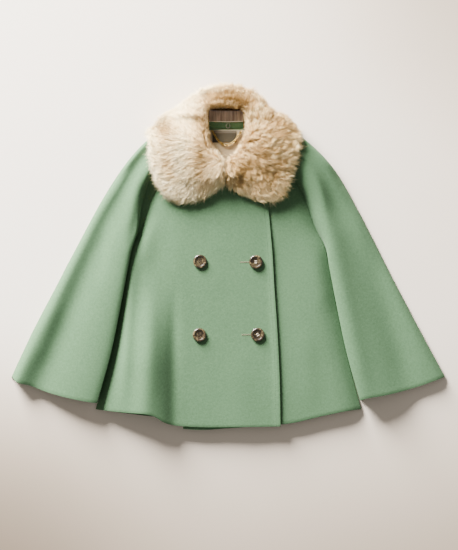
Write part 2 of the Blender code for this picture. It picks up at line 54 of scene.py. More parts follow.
class Tone:
    """A socket in a material's node tree; arithmetic on it adds Math nodes."""

    def __init__(self, tree, socket=None):
        self.tree = tree
        self.socket = socket

    def make(self, kind, settings=None, values=None, output=0):
        """Adds a node: its settings first, then its sockets' values or links."""
        node = self.tree.nodes.new(kind)
        for name, value in (settings or {}).items():
            if name == "stops":
                elements = node.color_ramp.elements
                while len(elements) < len(value):
                    elements.new(1.0)
                for element, (position, colour) in zip(elements, value):
                    element.position = position
                    element.color = (*colour, 1.0)
            else:
                setattr(node, name, value)
        for name, value in (values or {}).items():
            if isinstance(value, Tone):
                self.tree.links.new(value.socket, node.inputs[name])
            else:
                node.inputs[name].default_value = value
        return Tone(self.tree, node.outputs[output])

    def math(self, operation, first, second):
        return self.make("ShaderNodeMath", {"operation": operation}, {0: first, 1: second})

    def feed(self, shader, socket):
        self.tree.links.new(self.socket, shader.inputs[socket])

    def __add__(self, other):
        return self.math("ADD", self, other)

    def __sub__(self, other):
        return self.math("SUBTRACT", self, other)

    def __rsub__(self, other):
        return self.math("SUBTRACT", other, self)

    def __mul__(self, other):
        return self.math("MULTIPLY", self, other)

    __radd__ = __add__
    __rmul__ = __mul__


def new_material(name, constants):
    """A Principled material with its constant values set on the shader's own sockets."""
    material = bpy.data.materials.new(name)
    material.use_nodes = True
    shader = material.node_tree.nodes["Principled BSDF"]
    for socket, value in constants.items():
        shader.inputs[socket].default_value = value
    return material, Tone(material.node_tree), shader


def places(tone):
    """Where each point of a piece lies, in the coat's own frame."""
    return tone.make("ShaderNodeTexCoord", output="Object")


def noise(where, scale, detail, **more):
    """A cloudy pattern over places on the piece; the scale is for a metre."""
    return where.make("ShaderNodeTexNoise", {},
                      {"Vector": where, "Scale": scale, "Detail": detail, **more})


def paint(shader, value, *stops):
    """Colours a surface by a value, from one stop of a ramp to the next."""
    value.make("ShaderNodeValToRGB", {"stops": stops}, {"Fac": value}).feed(shader, "Base Color")


def emboss(shader, height, strength, depth):
    """Gives a surface a fine relief, its depth in metres."""
    height.make("ShaderNodeBump", {}, {"Strength": strength, "Distance": depth, "Height": height}
                ).feed(shader, "Normal")


def select_only(piece):
    bpy.ops.object.select_all(action="DESELECT")
    piece.select_set(True)
    bpy.context.view_layer.objects.active = piece


def apply_modifier(piece, kind, **settings):
    select_only(piece)
    modifier = piece.modifiers.new(kind.lower(), kind)
    for name, value in settings.items():
        setattr(modifier, name, value)
    bpy.ops.object.modifier_apply(modifier=modifier.name)


def copy_of(node, name, crease=50):
    """A copy of a CAD node's solid, its points merged, its sharp edges creased for subdivision."""
    piece = bpy.data.objects.new(name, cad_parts[node].data.copy())
    bpy.context.scene.collection.objects.link(piece)
    piece.data.materials.clear()
    select_only(piece)
    bpy.ops.mesh.customdata_custom_splitnormals_clear()
    bpy.ops.object.mode_set(mode="EDIT")
    bpy.ops.mesh.select_mode(type="EDGE")
    bpy.ops.mesh.select_all(action="SELECT")
    bpy.ops.mesh.remove_doubles(threshold=0.00001)
    bpy.ops.mesh.tris_convert_to_quads(face_threshold=0.8, shape_threshold=0.8)
    bpy.ops.mesh.select_all(action="DESELECT")
    if crease:
        bpy.ops.mesh.edges_select_sharp(sharpness=math.radians(crease))
        bpy.ops.transform.edge_crease(value=1.0)
    bpy.ops.object.mode_set(mode="OBJECT")
    return piece


def points_of(piece):
    points = np.empty(len(piece.data.vertices) * 3, np.float32)
    piece.data.vertices.foreach_get("co", points)
    return points.reshape(-1, 3).astype(float)


def set_points(piece, points):
    piece.data.vertices.foreach_set("co", points.astype(np.float32).ravel())
    piece.data.update()


def ease(values, low, high):
    """0 up to a low value, 1 from a high one, eased between."""
    share = np.clip((values - low) / (high - low), 0.0, 1.0)
    return share * share * (3 - 2 * share)


# A fold dies out over the outer thirds of its line, and a hollow needs height below it (mm)
FOLD_TAPER = 3.0
FOLD_FALL = 2.2
HOLLOW_FLOOR = 4.5
HOLLOW_ROOM = 8.0


def soft_folds(piece, rows):
    """Lifts or lowers both faces of a panel along short lines; all sizes in millimetres."""
    points = points_of(piece)
    plan = points[:, :2] / MM
    for x0, y0, x1, y1, half_width, rise in rows:
        start, run = np.array((x0, y0), float), np.array((x1 - x0, y1 - y0), float)
        share = ((plan - start) @ run) / (run @ run)
        near = start + np.clip(share, 0.0, 1.0)[:, None] * run
        away = np.linalg.norm(plan - near, axis=1) / half_width
        ends = ease(np.minimum(share, 1.0 - share) * FOLD_TAPER, 0.0, 1.0)
        height = points[:, 2] / MM - HOLLOW_FLOOR
        room = np.clip(height / HOLLOW_ROOM, 0.0, 1.0) if rise < 0 else 1.0
        points[:, 2] += MM * rise * room * ends * np.exp(-FOLD_FALL * away ** 2)
    set_points(piece, points)


def cloth_panel(node, name, material, levels=2, rim=0.8, folds=()):
    """A cut panel: the CAD wall made smooth, given its folds, its cut edges rounded."""
    piece = copy_of(node, name)
    apply_modifier(piece, "SUBSURF", levels=levels, render_levels=levels)
    soft_folds(piece, folds)
    if rim:
        apply_modifier(piece, "BEVEL", width=rim * MM, segments=2, limit_method="ANGLE",
                       angle_limit=math.radians(50))
    select_only(piece)
    bpy.ops.object.shade_smooth_by_angle(angle=math.radians(45))
    piece.data.materials.append(material)
    return piece


def settle(piece, slot, *nodes):
    """The piece rides with the coat and stands for its CAD nodes; the slot is not used."""
    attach(piece, "root")
    if nodes:
        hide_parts(*nodes)


WOOL_DARK = (0.054, 0.112, 0.054)
WOOL_MID = (0.068, 0.138, 0.068)
WOOL_LIGHT = (0.084, 0.164, 0.084)

wool, tone, shader = new_material("wool_melton", {
    "Roughness": 0.95, "Specular IOR Level": 0.2, "Sheen Weight": 0.12, "Sheen Roughness": 0.5,
    "Sheen Tint": (0.6, 0.8, 0.58, 1.0)})
where = places(tone)
brushed = tone.make("ShaderNodeMapping", {}, {"Vector": where, "Scale": (1.0, 0.45, 1.0)})
cloud = noise(where, 11.0, 3.0)
felt = noise(where, 230.0, 3.0, Roughness=0.6)
nap = noise(brushed, 850.0, 3.0, Roughness=0.7)
mottle = cloud * 0.1 + felt * 0.45 + nap * 0.45
paint(shader, mottle, (0.34, WOOL_DARK), (0.5, WOOL_MID), (0.66, WOOL_LIGHT))
emboss(shader, nap * 0.7 + felt * 0.6, strength=0.45, depth=0.0007)

wool_back = cloth_panel("back", "wool_back", wool, levels=1)
settle(wool_back, "wool", "back")


# Sleeve backs
# The under halves of the two wide raglan sleeves, of the same wool, flat on the surface.
# Each is sewn to the back along its raglan and to its sleeve's front along the arm.

sleeve_backs = {}
for side, area in (("right", 0.0676), ("left", 0.0637)):
    piece = cloth_panel(f"sleeve_{side}_back", f"wool_sleeve_{side}_back", wool, levels=1)
    settle(piece, "wool", f"sleeve_{side}_back")
    sleeve_backs[side] = piece


# Lining and label
# A cream twill lining faces the inside of the back below the neck, sewn in along the neck seam.
# On it lies a bare woven label, its top edge turned under and sewn down.

lining, tone, shader = new_material("cream_lining", {
    "Roughness": 0.5, "Specular IOR Level": 0.35, "Sheen Weight": 0.1, "Sheen Roughness": 0.4})
where = places(tone)
twill = tone.make("ShaderNodeTexWave", {"wave_type": "BANDS", "bands_direction": "DIAGONAL"},
                  {"Vector": where, "Scale": 420.0, "Distortion": 0.6, "Detail": 1.0})
patchy = noise(where, 28.0, 3.0)
paint(shader, patchy * 0.8 + twill * 0.2, (0.3, (0.28, 0.215, 0.125)), (0.7, (0.40, 0.32, 0.20)))
emboss(shader, twill, strength=0.2, depth=0.0003)

# Columns of every table of folds: a line's two ends, its half width, its rise (mm)
LINING_FOLDS = ((-40, 190, 12, 150, 9, 0.5), (20, 205, 30, 150, 8, 0.6),
                (-20, 205, -34, 160, 8, 0.5))
lining_piece = cloth_panel("back_lining", "back_lining_cloth", lining, rim=0.3, folds=LINING_FOLDS)
settle(lining_piece, "lining", "back_lining")

LABEL_GROUND = ((0.2, (0.038, 0.030, 0.015)), (0.8, (0.062, 0.050, 0.028)))
LABEL_EDGE = (0.16, 0.13, 0.09, 1.0)
LABEL_TURN = (0.2495, 0.2505)

label, tone, shader = new_material("woven_label", {"Roughness": 0.62, "Specular IOR Level": 0.3})
where = places(tone)
across = tone.make("ShaderNodeSeparateXYZ", {}, {"Vector": where}, output="Y")
picks = tone.make("ShaderNodeTexWave", {"bands_direction": "Y"}, {"Vector": where, "Scale": 260.0})
ends = tone.make("ShaderNodeTexWave", {"bands_direction": "X"}, {"Vector": where, "Scale": 320.0})
turned = tone.make("ShaderNodeMapRange", {"clamp": True},
                   {"Value": across, "From Min": LABEL_TURN[0], "From Max": LABEL_TURN[1]})
weave = picks * 0.6 + ends * 0.4
ground = tone.make("ShaderNodeValToRGB", {"stops": LABEL_GROUND}, {"Fac": weave})
tone.make("ShaderNodeMix", {"data_type": "RGBA"},
          {"Factor": turned * 0.6, 6: ground, 7: LABEL_EDGE}, output=2).feed(shader, "Base Color")
emboss(shader, weave, strength=0.35, depth=0.0003)

label_piece = cloth_panel("label", "label_cloth", label, rim=0.15)
settle(label_piece, "label", "label")


# Fronts
# Two wool fronts; the wearer's right one laps over the left, and all four buttons lie on it.
# They hang from the neck and raglan seams and lie over the back, with one large flute at the hem.

LEFT_FRONT_FOLDS = ((170, 40, 200, -120, 26, 1.6), (150, -120, 168, -320, 30, 1.2))
RIGHT_FRONT_FOLDS = ((-150, 96, -176, -30, 24, 1.6), (-30, 70, -22, -90, 40, 0.8),
                     (20, -160, 30, -440, 44, 1.4), (-108, -20, -112, -440, 18, -2.6),
                     (-152, 0, -174, -440, 32, 6.0), (-190, 100, -212, -330, 20, 6.0),
                     (79, 200, 111, -480, 11, 2.4))
fronts = {}
for side, folds in (("left", LEFT_FRONT_FOLDS), ("right", RIGHT_FRONT_FOLDS)):
    piece = cloth_panel(f"front_{side}", f"wool_front_{side}", wool, folds=folds)
    settle(piece, "wool", f"front_{side}")
    fronts[side] = piece


# Sleeve fronts
# The upper halves of the raglan sleeves, of the same wool, standing in a long soft roll.
# Each runs from the collar to a wide plain cuff and meets its back at the underarm and overarm.

SLEEVE_FOLDS = {
    "right": ((-330, -60, -392, -232, 26, 2.0), (-250, 60, -262, -60, 16, -1.0),
              (-162, 190, -196, 10, 16, -5.0)),
    "left": ((190, 110, 290, -340, 26, 3.5), (264, 100, 385, -330, 40, -4.5)),
}
# Columns: the outer edge at the shoulder, at the cuff (mm), and which way is outward
OVERARM = {"right": ((-157, 216), (-433, -236), -1), "left": ((157, 216), (433, -238), 1)}
# How wide the edge is that is drawn together, where it begins, how it is measured (mm)
OVERARM_INSET = 18.0
OVERARM_START = (40.0, 100.0)
OVERARM_STATIONS = 25
STATION_REACH = 16.0
RIM_WIDTH = 3.0
RIM_HEIGHT = 1.4
RIM_STEP = 0.3


def close_overarm(front, back, shoulder, cuff, outward):
    """Brings a sleeve's two halves together along their outer edges; millimetres inside."""
    run = np.array(cuff, float) - shoulder
    reach = np.linalg.norm(run)
    run /= reach
    out = outward * np.array((-run[1], run[0]))
    stations = np.linspace(0.0, reach, OVERARM_STATIONS)
    edges = []
    for piece in (front, back):
        points = points_of(piece) / MM
        lengthwise, sideways = (points[:, :2] - shoulder) @ run, (points[:, :2] - shoulder) @ out
        near = np.abs(lengthwise - stations[:, None]) < STATION_REACH
        edge = np.array([sideways[row].max() for row in near])
        edges.append(edge)
        inset = np.interp(lengthwise, stations, edge) - sideways
        share = (1 - ease(inset, 0.0, OVERARM_INSET)) * ease(lengthwise, *OVERARM_START)
        if piece is front:
            rims = [row & (sideways > widest - RIM_WIDTH) for row, widest in zip(near, edge)]
            lowest = np.array([points[rim, 2].min() for rim in rims])
            drop = np.interp(lengthwise, stations, lowest) - RIM_HEIGHT
            points[:, 2] -= share * np.maximum(drop, 0.0)
        else:
            gap = np.interp(lengthwise, stations, edges[0] - edges[1]) - RIM_STEP
            points[:, :2] += (share * np.maximum(gap, 0.0))[:, None] * out
        set_points(piece, points * MM)


sleeves = {}
for side, folds in SLEEVE_FOLDS.items():
    piece = cloth_panel(f"sleeve_{side}_front", f"wool_sleeve_{side}_front", wool, folds=folds)
    close_overarm(piece, sleeve_backs[side], *OVERARM[side])
    settle(piece, "wool", f"sleeve_{side}_front")
    sleeves[side] = piece


# Neck band and collar facing
# Inside the neck a strip of the wool, and above it the taupe satin that faces the collar's roll.
# The two are sewn together along the neck seam.

neck_band = cloth_panel("neck_band", "wool_neck_band", wool, rim=0.5)
settle(neck_band, "wool", "neck_band")

satin, tone, shader = new_material("taupe_satin", {
    "Roughness": 0.38, "Specular IOR Level": 0.5, "Anisotropic": 0.4, "Sheen Weight": 0.15})
where = places(tone)
streaks = tone.make("ShaderNodeMapping", {}, {"Vector": where, "Scale": (1.0, 0.12, 0.12)})
grain = noise(streaks, 240.0, 3.0)
threads = tone.make("ShaderNodeTexWave", {"bands_direction": "Y"}, {"Vector": where, "Scale": 500.0})
paint(shader, grain, (0.35, (0.110, 0.076, 0.052)), (0.65, (0.270, 0.196, 0.145)))
emboss(shader, grain + threads * 0.3, strength=0.3, depth=0.0004)

FACING_FOLDS = ((-28, 292, -24, 274, 3, 0.5), (-12, 294, -10, 276, 3, 0.4),
                (4, 294, 6, 276, 3, 0.5), (18, 292, 16, 275, 3, 0.4))
facing = cloth_panel("collar_facing", "satin_facing", satin, rim=0.3, folds=FACING_FOLDS)
settle(facing, "satin", "collar_facing")


# Topstitching and buttonholes
# The front edge and the raglan seams are topstitched in thread of the cloth's own green.
# Two worked buttonholes in olive buttonhole twist lie beside the buttons that fasten, each with a dark
# spindle of painted shade for its slit.

def tree_of(pieces):
    """One search tree over several pieces, for finding the cloth's height."""
    vertices, faces = [], []
    for piece in pieces:
        offset = len(vertices)
        vertices += [vertex.co for vertex in piece.data.vertices]
        faces += [[offset + index for index in polygon.vertices] for polygon in piece.data.polygons]
    return BVHTree.FromPolygons(vertices, faces)


RAY_START = 0.2


def heights(tree, plan, missing=0.0):
    """The cloth's upper height, in metres, over points of the plan in millimetres."""
    found = np.full(len(plan), missing)
    for row, (x, y) in enumerate(plan):
        hit = tree.ray_cast(Vector((x * MM, y * MM, RAY_START)), Vector((0.0, 0.0, -1.0)))[0]
        if hit is not None:
            found[row] = hit.z
    return found


CURVE_STEPS = 24


def along(points, pitch, shift=0.0):
    """Even steps on a smooth line through the points, moved sideways by a shift; millimetres."""
    knots = np.array(points, float)
    knots = np.concatenate([[2 * knots[0] - knots[1]], knots, [2 * knots[-1] - knots[-2]]])
    dense = []
    for k in range(1, len(knots) - 2):
        p0, p1, p2, p3 = knots[k - 1:k + 3]
        for s in np.linspace(0.0, 1.0, CURVE_STEPS, endpoint=False):
            dense.append(0.5 * (2 * p1 + (p2 - p0) * s + (2 * p0 - 5 * p1 + 4 * p2 - p3) * s ** 2
                                + (3 * p1 - p0 - 3 * p2 + p3) * s ** 3))
    dense = np.array(dense + [knots[-2]])
    run = np.gradient(dense, axis=0)
    run /= np.linalg.norm(run, axis=1)[:, None]
    dense = dense + shift * np.stack([run[:, 1], -run[:, 0]], axis=1)
    length = np.concatenate([[0.0], np.cumsum(np.linalg.norm(np.diff(dense, axis=0), axis=1))])
    steps = np.arange(pitch / 2, length[-1], pitch)
    return np.stack([np.interp(steps, length, dense[:, axis]) for axis in (0, 1)], axis=1)


def mesh_piece(name, vertices, faces, material):
    mesh = bpy.data.meshes.new(name)
    mesh.from_pydata(vertices, [], faces)
    mesh.materials.append(material)
    piece = bpy.data.objects.new(name, mesh)
    bpy.context.scene.collection.objects.link(piece)
    select_only(piece)
    bpy.ops.object.shade_smooth()
    return piece


# Columns: a ring's place along a stitch and its radius, as shares of the stitch's own
STITCH_RINGS = ((-0.5, 0.12), (-0.34, 0.8), (0.0, 1.0), (0.34, 0.8), (0.5, 0.12))
STITCH_SIDES = 6


def stitches(name, centres, runs, length, radius, material, flat=0.7):
    """Spindle-shaped stitches in one mesh: centres and runs in metres, sizes in millimetres."""
    runs = runs / np.linalg.norm(runs, axis=1)[:, None]
    aside = np.cross(runs, (0.0, 0.0, 1.0))
    aside /= np.linalg.norm(aside, axis=1)[:, None]
    above = np.cross(aside, runs)
    turn = np.linspace(0.0, 2 * np.pi, STITCH_SIDES, endpoint=False)
    rings = np.array(STITCH_RINGS)
    lengthwise = np.repeat(rings[:, 0], STITCH_SIDES) * length * MM
    sideways = (rings[:, 1][:, None] * np.cos(turn)).ravel() * radius * MM
    upward = (rings[:, 1][:, None] * np.sin(turn)).ravel() * radius * flat * MM
    vertices = (centres[:, None] + lengthwise[None, :, None] * runs[:, None]
                + sideways[None, :, None] * aside[:, None] + upward[None, :, None] * above[:, None])
    n, last = STITCH_SIDES, len(rings) - 1
    one = [(r * n + k, r * n + (k + 1) % n, (r + 1) * n + (k + 1) % n, (r + 1) * n + k)
           for r in range(last) for k in range(n)]
    one += [tuple(range(n))[::-1], tuple(last * n + k for k in range(n))]
    each = len(rings) * n
    faces = [tuple(item * each + corner for corner in face)
             for item in range(len(centres)) for face in one]
    piece = mesh_piece(name, vertices.reshape(-1, 3), faces, material)
    bpy.ops.object.mode_set(mode="EDIT")
    bpy.ops.mesh.select_all(action="SELECT")
    bpy.ops.mesh.normals_make_consistent(inside=False)
    bpy.ops.object.mode_set(mode="OBJECT")
    return piece


def thread_material(name, dark, light):
    material, start, principled = new_material(name, {"Roughness": 0.7, "Specular IOR Level": 0.3})
    place = places(start)
    twist = noise(place, 900.0, 2.0)
    paint(principled, twist, (0.35, dark), (0.65, light))
    emboss(principled, twist, strength=0.4, depth=0.0002)
    return material


green_thread = thread_material("green_thread", (0.050, 0.104, 0.050), (0.074, 0.146, 0.074))
beige_thread = thread_material("beige_thread", (0.50, 0.42, 0.30), (0.66, 0.58, 0.45))
hole_thread = thread_material("hole_thread", (0.11, 0.125, 0.07), (0.17, 0.175, 0.105))
brown_thread = thread_material("brown_thread", (0.012, 0.009, 0.006), (0.03, 0.023, 0.014))
# The slits' dark green is painted shade for the open buttonholes
slit_painted_shade = thread_material("painted_shade_slit", (0.035, 0.045, 0.026), (0.06, 0.075, 0.045))

FRONT_EDGE = ((78, 120), (82, 76), (87, 20), (92, -64), (97, -134), (102, -232), (104, -337))
RAGLAN = ((138, 146), (154, 116), (164, 86), (174, 56), (194, 24))
EDGE_INSET = 9.0
RAGLAN_INSET = 5.5
STITCH_PITCH = 4.4
STITCH_LENGTH = 3.3
STITCH_RADIUS = 0.45
STITCH_STAND = 0.05

front_tree = tree_of([fronts["right"], fronts["left"]])
lines = [along(FRONT_EDGE, STITCH_PITCH, EDGE_INSET)]
for sign in (-1, 1):
    seam = [(sign * x, y) for x, y in RAGLAN]
    lines.append(along(seam, STITCH_PITCH, sign * RAGLAN_INSET))
centres, runs = [], []
for line in lines:
    line = np.column_stack([line * MM, heights(front_tree, line)])
    centres.append(line + (0.0, 0.0, STITCH_STAND * MM))
    runs.append(np.gradient(line, axis=0))
topstitch = stitches("topstitching", np.concatenate(centres), np.concatenate(runs), STITCH_LENGTH,
                     STITCH_RADIUS, green_thread)
settle(topstitch, "wool")

# Columns: a buttonhole's two ends and its height on the front (mm)
BUTTONHOLES = ((24.0, 43.0, -8.2), (27.4, 46.0, -153.4))
HOLE_PITCH = 0.6
HOLE_HALF = 0.75
HOLE_STAND = 0.15
TWIST_LENGTH = 1.5
TWIST_RADIUS = 0.36
TWIST_SLANT = 0.02
BAR_STITCHES = 5
BAR_SETBACK = 0.2
BAR_HALF = 1.4
BAR_STAND = 0.2
SLIT_LENGTH = 18.0
SLIT_RADIUS = 0.45
SLIT_STAND = 0.1
centres, runs, slits = [], [], []
for x0, x1, y in BUTTONHOLES:
    for edge in (-1, 1):
        x = np.arange(x0, x1, HOLE_PITCH)
        row = np.stack([x, np.full_like(x, y + edge * HOLE_HALF)], axis=1)
        centres.append(np.column_stack([row * MM, heights(front_tree, row) + HOLE_STAND * MM]))
        runs.append(np.tile((TWIST_SLANT, 1.0, 0.0), (len(x), 1)))
    bar = np.stack([np.full(BAR_STITCHES, x0 - BAR_SETBACK),
                    y + np.linspace(-BAR_HALF, BAR_HALF, BAR_STITCHES)], axis=1)
    centres.append(np.column_stack([bar * MM, heights(front_tree, bar) + BAR_STAND * MM]))
    runs.append(np.tile((1.0, TWIST_SLANT, 0.0), (BAR_STITCHES, 1)))
    middle = np.array([((x0 + x1) / 2, y)])
    slits.append(np.column_stack([middle * MM, heights(front_tree, middle) + SLIT_STAND * MM])[0])
buttonholes = stitches("buttonhole_twist", np.concatenate(centres), np.concatenate(runs),
                       TWIST_LENGTH, TWIST_RADIUS, hole_thread)
settle(buttonholes, "wool")
# Each slit is a dark spindle laid on the cloth: painted shade for the buttonhole's opening
slit_shade_piece = stitches("buttonhole_slit_shades", np.array(slits), np.tile((1.0, 0.0, 0.0), (len(slits), 1)),
                      SLIT_LENGTH, SLIT_RADIUS, slit_painted_shade, flat=0.5)
settle(slit_shade_piece, "wool")


# Piping, wire eye and hanging chain
# A pale cord is sewn between the satin and the neck band, and a bent wire eye hangs from that seam.
# A short gold-coloured curb chain, fixed at both ends of the neck, lies in a bow over the label.

NECK_SEAM = ((-39, 273.3), (-22, 273.0), (-5, 272.6), (12, 273.0), (29, 273.3))
PIPING_PITCH = 1.1
PIPING_LENGTH = 1.7
PIPING_RADIUS = 0.75
PIPING_STAND = 0.1
neck_tree = tree_of([facing, neck_band, lining_piece, label_piece])
cord = along(NECK_SEAM, PIPING_PITCH)
cord = np.column_stack([cord * MM, heights(neck_tree, cord) + PIPING_STAND * MM])
piping = stitches("neck_piping", cord, np.gradient(cord, axis=0), PIPING_LENGTH, PIPING_RADIUS,
                  beige_thread, flat=1.0)
settle(piping, "satin")

steel, tone, shader = new_material("dull_wire", {"Metallic": 0.9})
where = places(tone)
tarnish = noise(where, 420.0, 3.0)
paint(shader, tarnish, (0.35, (0.16, 0.15, 0.13)), (0.65, (0.42, 0.40, 0.36)))
(tarnish * 0.3 + 0.25).feed(shader, "Roughness")
eye = copy_of("collar_eye", "wire_eye", crease=0)
apply_modifier(eye, "SUBSURF", levels=2, render_levels=2)
bpy.ops.object.shade_smooth()
eye.data.materials.append(steel)
settle(eye, "steel", "collar_eye")

brass, tone, shader = new_material("gold_chain", {"Metallic": 1.0})
where = places(tone)
wear = noise(where, 500.0, 3.0)
paint(shader, wear, (0.35, (0.25, 0.16, 0.035)), (0.65, (0.58, 0.42, 0.15)))
(wear * 0.25 + 0.16).feed(shader, "Roughness")

CHAIN_LEFT = -33.0
CHAIN_RIGHT = 25.5
CHAIN_LEVEL = 255.0
CHAIN_SAG = 29.0
CHAIN_POINTS = 21
LINK_PITCH = 3.4
LINK_MAJOR = 2.3
LINK_MINOR = 0.75
LINK_TURN = 48.0
LINK_STRETCH = (1.15, 0.82, 1.0, 1.0)
share = np.linspace(0.0, 1.0, CHAIN_POINTS)
bow = np.stack([CHAIN_LEFT + (CHAIN_RIGHT - CHAIN_LEFT) * share,
                CHAIN_LEVEL - CHAIN_SAG * 4 * share * (1 - share)], axis=1)
line = along(bow, LINK_PITCH)
low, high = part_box("hanging_chain")
directions = np.gradient(line, axis=0)
links = []
for number, ((x, y), (dx, dy)) in enumerate(zip(line, directions)):
    lean = math.radians(LINK_TURN if number % 2 else -LINK_TURN)
    bpy.ops.mesh.primitive_torus_add(major_segments=18, minor_segments=8,
                                     major_radius=LINK_MAJOR * MM, minor_radius=LINK_MINOR * MM)
    link = bpy.context.object
    turn = Matrix.Rotation(math.atan2(dy, dx), 4, "Z") @ Matrix.Rotation(lean, 4, "X")
    place = Matrix.Translation((x * MM, y * MM, (low.z + high.z) / 2))
    link.data.transform(place @ turn @ Matrix.Diagonal(LINK_STRETCH))
    link.matrix_world = Matrix.Identity(4)
    links.append(link)
bpy.ops.object.select_all(action="DESELECT")
for link in links:
    link.select_set(True)
bpy.context.view_layer.objects.active = links[0]
bpy.ops.object.join()
chain = bpy.context.object
chain.name = "gold_chain"
bpy.ops.object.shade_smooth()
chain.data.materials.append(brass)
settle(chain, "brass", "hanging_chain")


# Buttons
# Four turned buttons of marbled horn with a raised rim and four holes, sewn on with thread.
# The two on the wearer's left fasten; the two on the right are sewn on for show.

horn, tone, shader = new_material("marbled_horn", {
    "Specular IOR Level": 0.5, "Coat Weight": 0.35, "Coat Roughness": 0.12})
where = places(tone)
swirl = noise(where, 62.0, 4.0, Distortion=2.8)
streak = noise(where, 330.0, 3.0, Distortion=1.0)
paint(shader, swirl * 0.75 + streak * 0.25, (0.38, (0.008, 0.0055, 0.003)),
      (0.48, (0.026, 0.0165, 0.008)), (0.56, (0.056, 0.041, 0.019)), (0.67, (0.19, 0.15, 0.072)))
(streak * 0.25 + 0.16).feed(shader, "Roughness")

BUTTON_RADIUS = 13.8
# Columns: a ring's share of the radius, its height (mm)
BUTTON_RINGS = ((0.80, 0.0), (0.97, 0.9), (1.0, 2.0), (0.985, 3.2), (0.93, 4.2), (0.84, 4.6),
                (0.75, 4.5), (0.67, 4.0), (0.60, 3.4), (0.50, 3.1))
HOLE_RING = 2.7
HOLE_RADIUS = 1.15
HOLE_COUNT = 4
DRILL_DEPTH = 16.0
EDGE_ROUND = 0.25
# Two bars of thread, each of three strands
SEWN_LENGTH = 5.4
SEWN_RADIUS = 0.42
SEWN_HEIGHT = 3.45
SEWN_OFF = 0.71
SEWN_STEPS = (-0.55, 0.0, 0.55)
SEWN_SPREAD = 0.7
# Columns: the button, how far it is turned (degrees), its thread
BUTTONS = (("button_right_upper", 125.0, brown_thread), ("button_left_upper", 0.0, beige_thread),
           ("button_right_lower", 115.0, brown_thread), ("button_left_lower", 35.0, beige_thread))


def horn_button(name, centre, turn):
    """A turned disc with a raised rim and a dished middle, drilled with its holes."""
    x, y, z = centre
    bpy.ops.mesh.primitive_circle_add(vertices=64, radius=BUTTON_RADIUS * BUTTON_RINGS[0][0] * MM,
                                      fill_type="NGON", location=(x, y, z))
    disc = bpy.context.object
    disc.data.transform(disc.matrix_world)
    disc.matrix_world = Matrix.Identity(4)
    bpy.ops.object.mode_set(mode="EDIT")
    bpy.ops.mesh.select_all(action="SELECT")
    for (before, below), (after, above) in zip(BUTTON_RINGS, BUTTON_RINGS[1:]):
        rise = (0, 0, (above - below) * MM)
        bpy.ops.mesh.extrude_region_move(TRANSFORM_OT_translate={"value": rise})
        bpy.ops.transform.resize(value=(after / before, after / before, 1.0),
                                 center_override=(x, y, z + above * MM))
    bpy.ops.mesh.select_all(action="SELECT")
    bpy.ops.mesh.normals_make_consistent(inside=False)
    bpy.ops.object.mode_set(mode="OBJECT")
    disc.name = name
    for k in range(HOLE_COUNT):
        angle = math.radians(turn + (k + 0.5) * 360 / HOLE_COUNT)
        bpy.ops.mesh.primitive_cylinder_add(vertices=20, radius=HOLE_RADIUS * MM, depth=DRILL_DEPTH * MM,
                                            location=(x + HOLE_RING * math.cos(angle) * MM,
                                                      y + HOLE_RING * math.sin(angle) * MM, z))
        drill = bpy.context.object
        apply_modifier(disc, "BOOLEAN", operation="DIFFERENCE", solver="EXACT", object=drill)
        bpy.data.objects.remove(drill)
    apply_modifier(disc, "BEVEL", width=EDGE_ROUND * MM, segments=2, limit_method="ANGLE",
                   angle_limit=math.radians(45))
    select_only(disc)
    bpy.ops.object.shade_smooth_by_angle(angle=math.radians(40))
    disc.data.materials.append(horn)
    return disc


for node, turn, thread in BUTTONS:
    low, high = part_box(node)
    centre = ((low.x + high.x) / 2, (low.y + high.y) / 2, low.z)
    disc = horn_button(f"horn_{node}", centre, turn)
    settle(disc, "horn", node)
    angle = math.radians(turn)
    strands, runs = [], []
    for side in (-1, 1):
        for step in SEWN_STEPS:
            away = side * HOLE_RING * SEWN_OFF + step * SEWN_SPREAD
            strands.append((centre[0] - math.sin(angle) * away * MM,
                            centre[1] + math.cos(angle) * away * MM, centre[2] + SEWN_HEIGHT * MM))
            runs.append((math.cos(angle), math.sin(angle), 0.0))
    sewn = stitches(f"thread_{node}", np.array(strands), np.array(runs), SEWN_LENGTH, SEWN_RADIUS,
                    thread)
    settle(sewn, "wool")


# Fur collar
# A rolled collar of long-haired sheepskin, tan at the root and cream at the tip, sewn to the neck.
# The wearer's right half is combed smooth, the left half stands in loose curls.

fur_skin, tone, shader = new_material("fur_skin", {"Roughness": 0.95, "Specular IOR Level": 0.1})
where = places(tone)
down = noise(where, 160.0, 4.0)
paint(shader, down, (0.3, (0.20, 0.12, 0.045)), (0.7, (0.36, 0.225, 0.09)))
emboss(shader, down, strength=0.8, depth=0.002)

ROOT_TO_TIP = ((0.0, (0.16, 0.095, 0.036)), (0.35, (0.52, 0.345, 0.145)),
               (0.65, (0.97, 0.77, 0.40)), (0.9, (1.0, 0.91, 0.63)))
TAN_SHADES = ((0.5, (0.66, 0.38, 0.11)), (1.0, (0.36, 0.205, 0.056)))

fur_hair, tone, shader = new_material("fur_hair", {
    "Roughness": 0.55, "Specular IOR Level": 0.3, "Sheen Weight": 0.5, "Sheen Roughness": 0.45,
    "Sheen Tint": (1.0, 0.84, 0.52, 1.0)})
tip = tone.make("ShaderNodeAttribute", {"attribute_name": "along"}, output="Fac")
tint = tone.make("ShaderNodeAttribute", {"attribute_name": "tint"}, output="Fac")
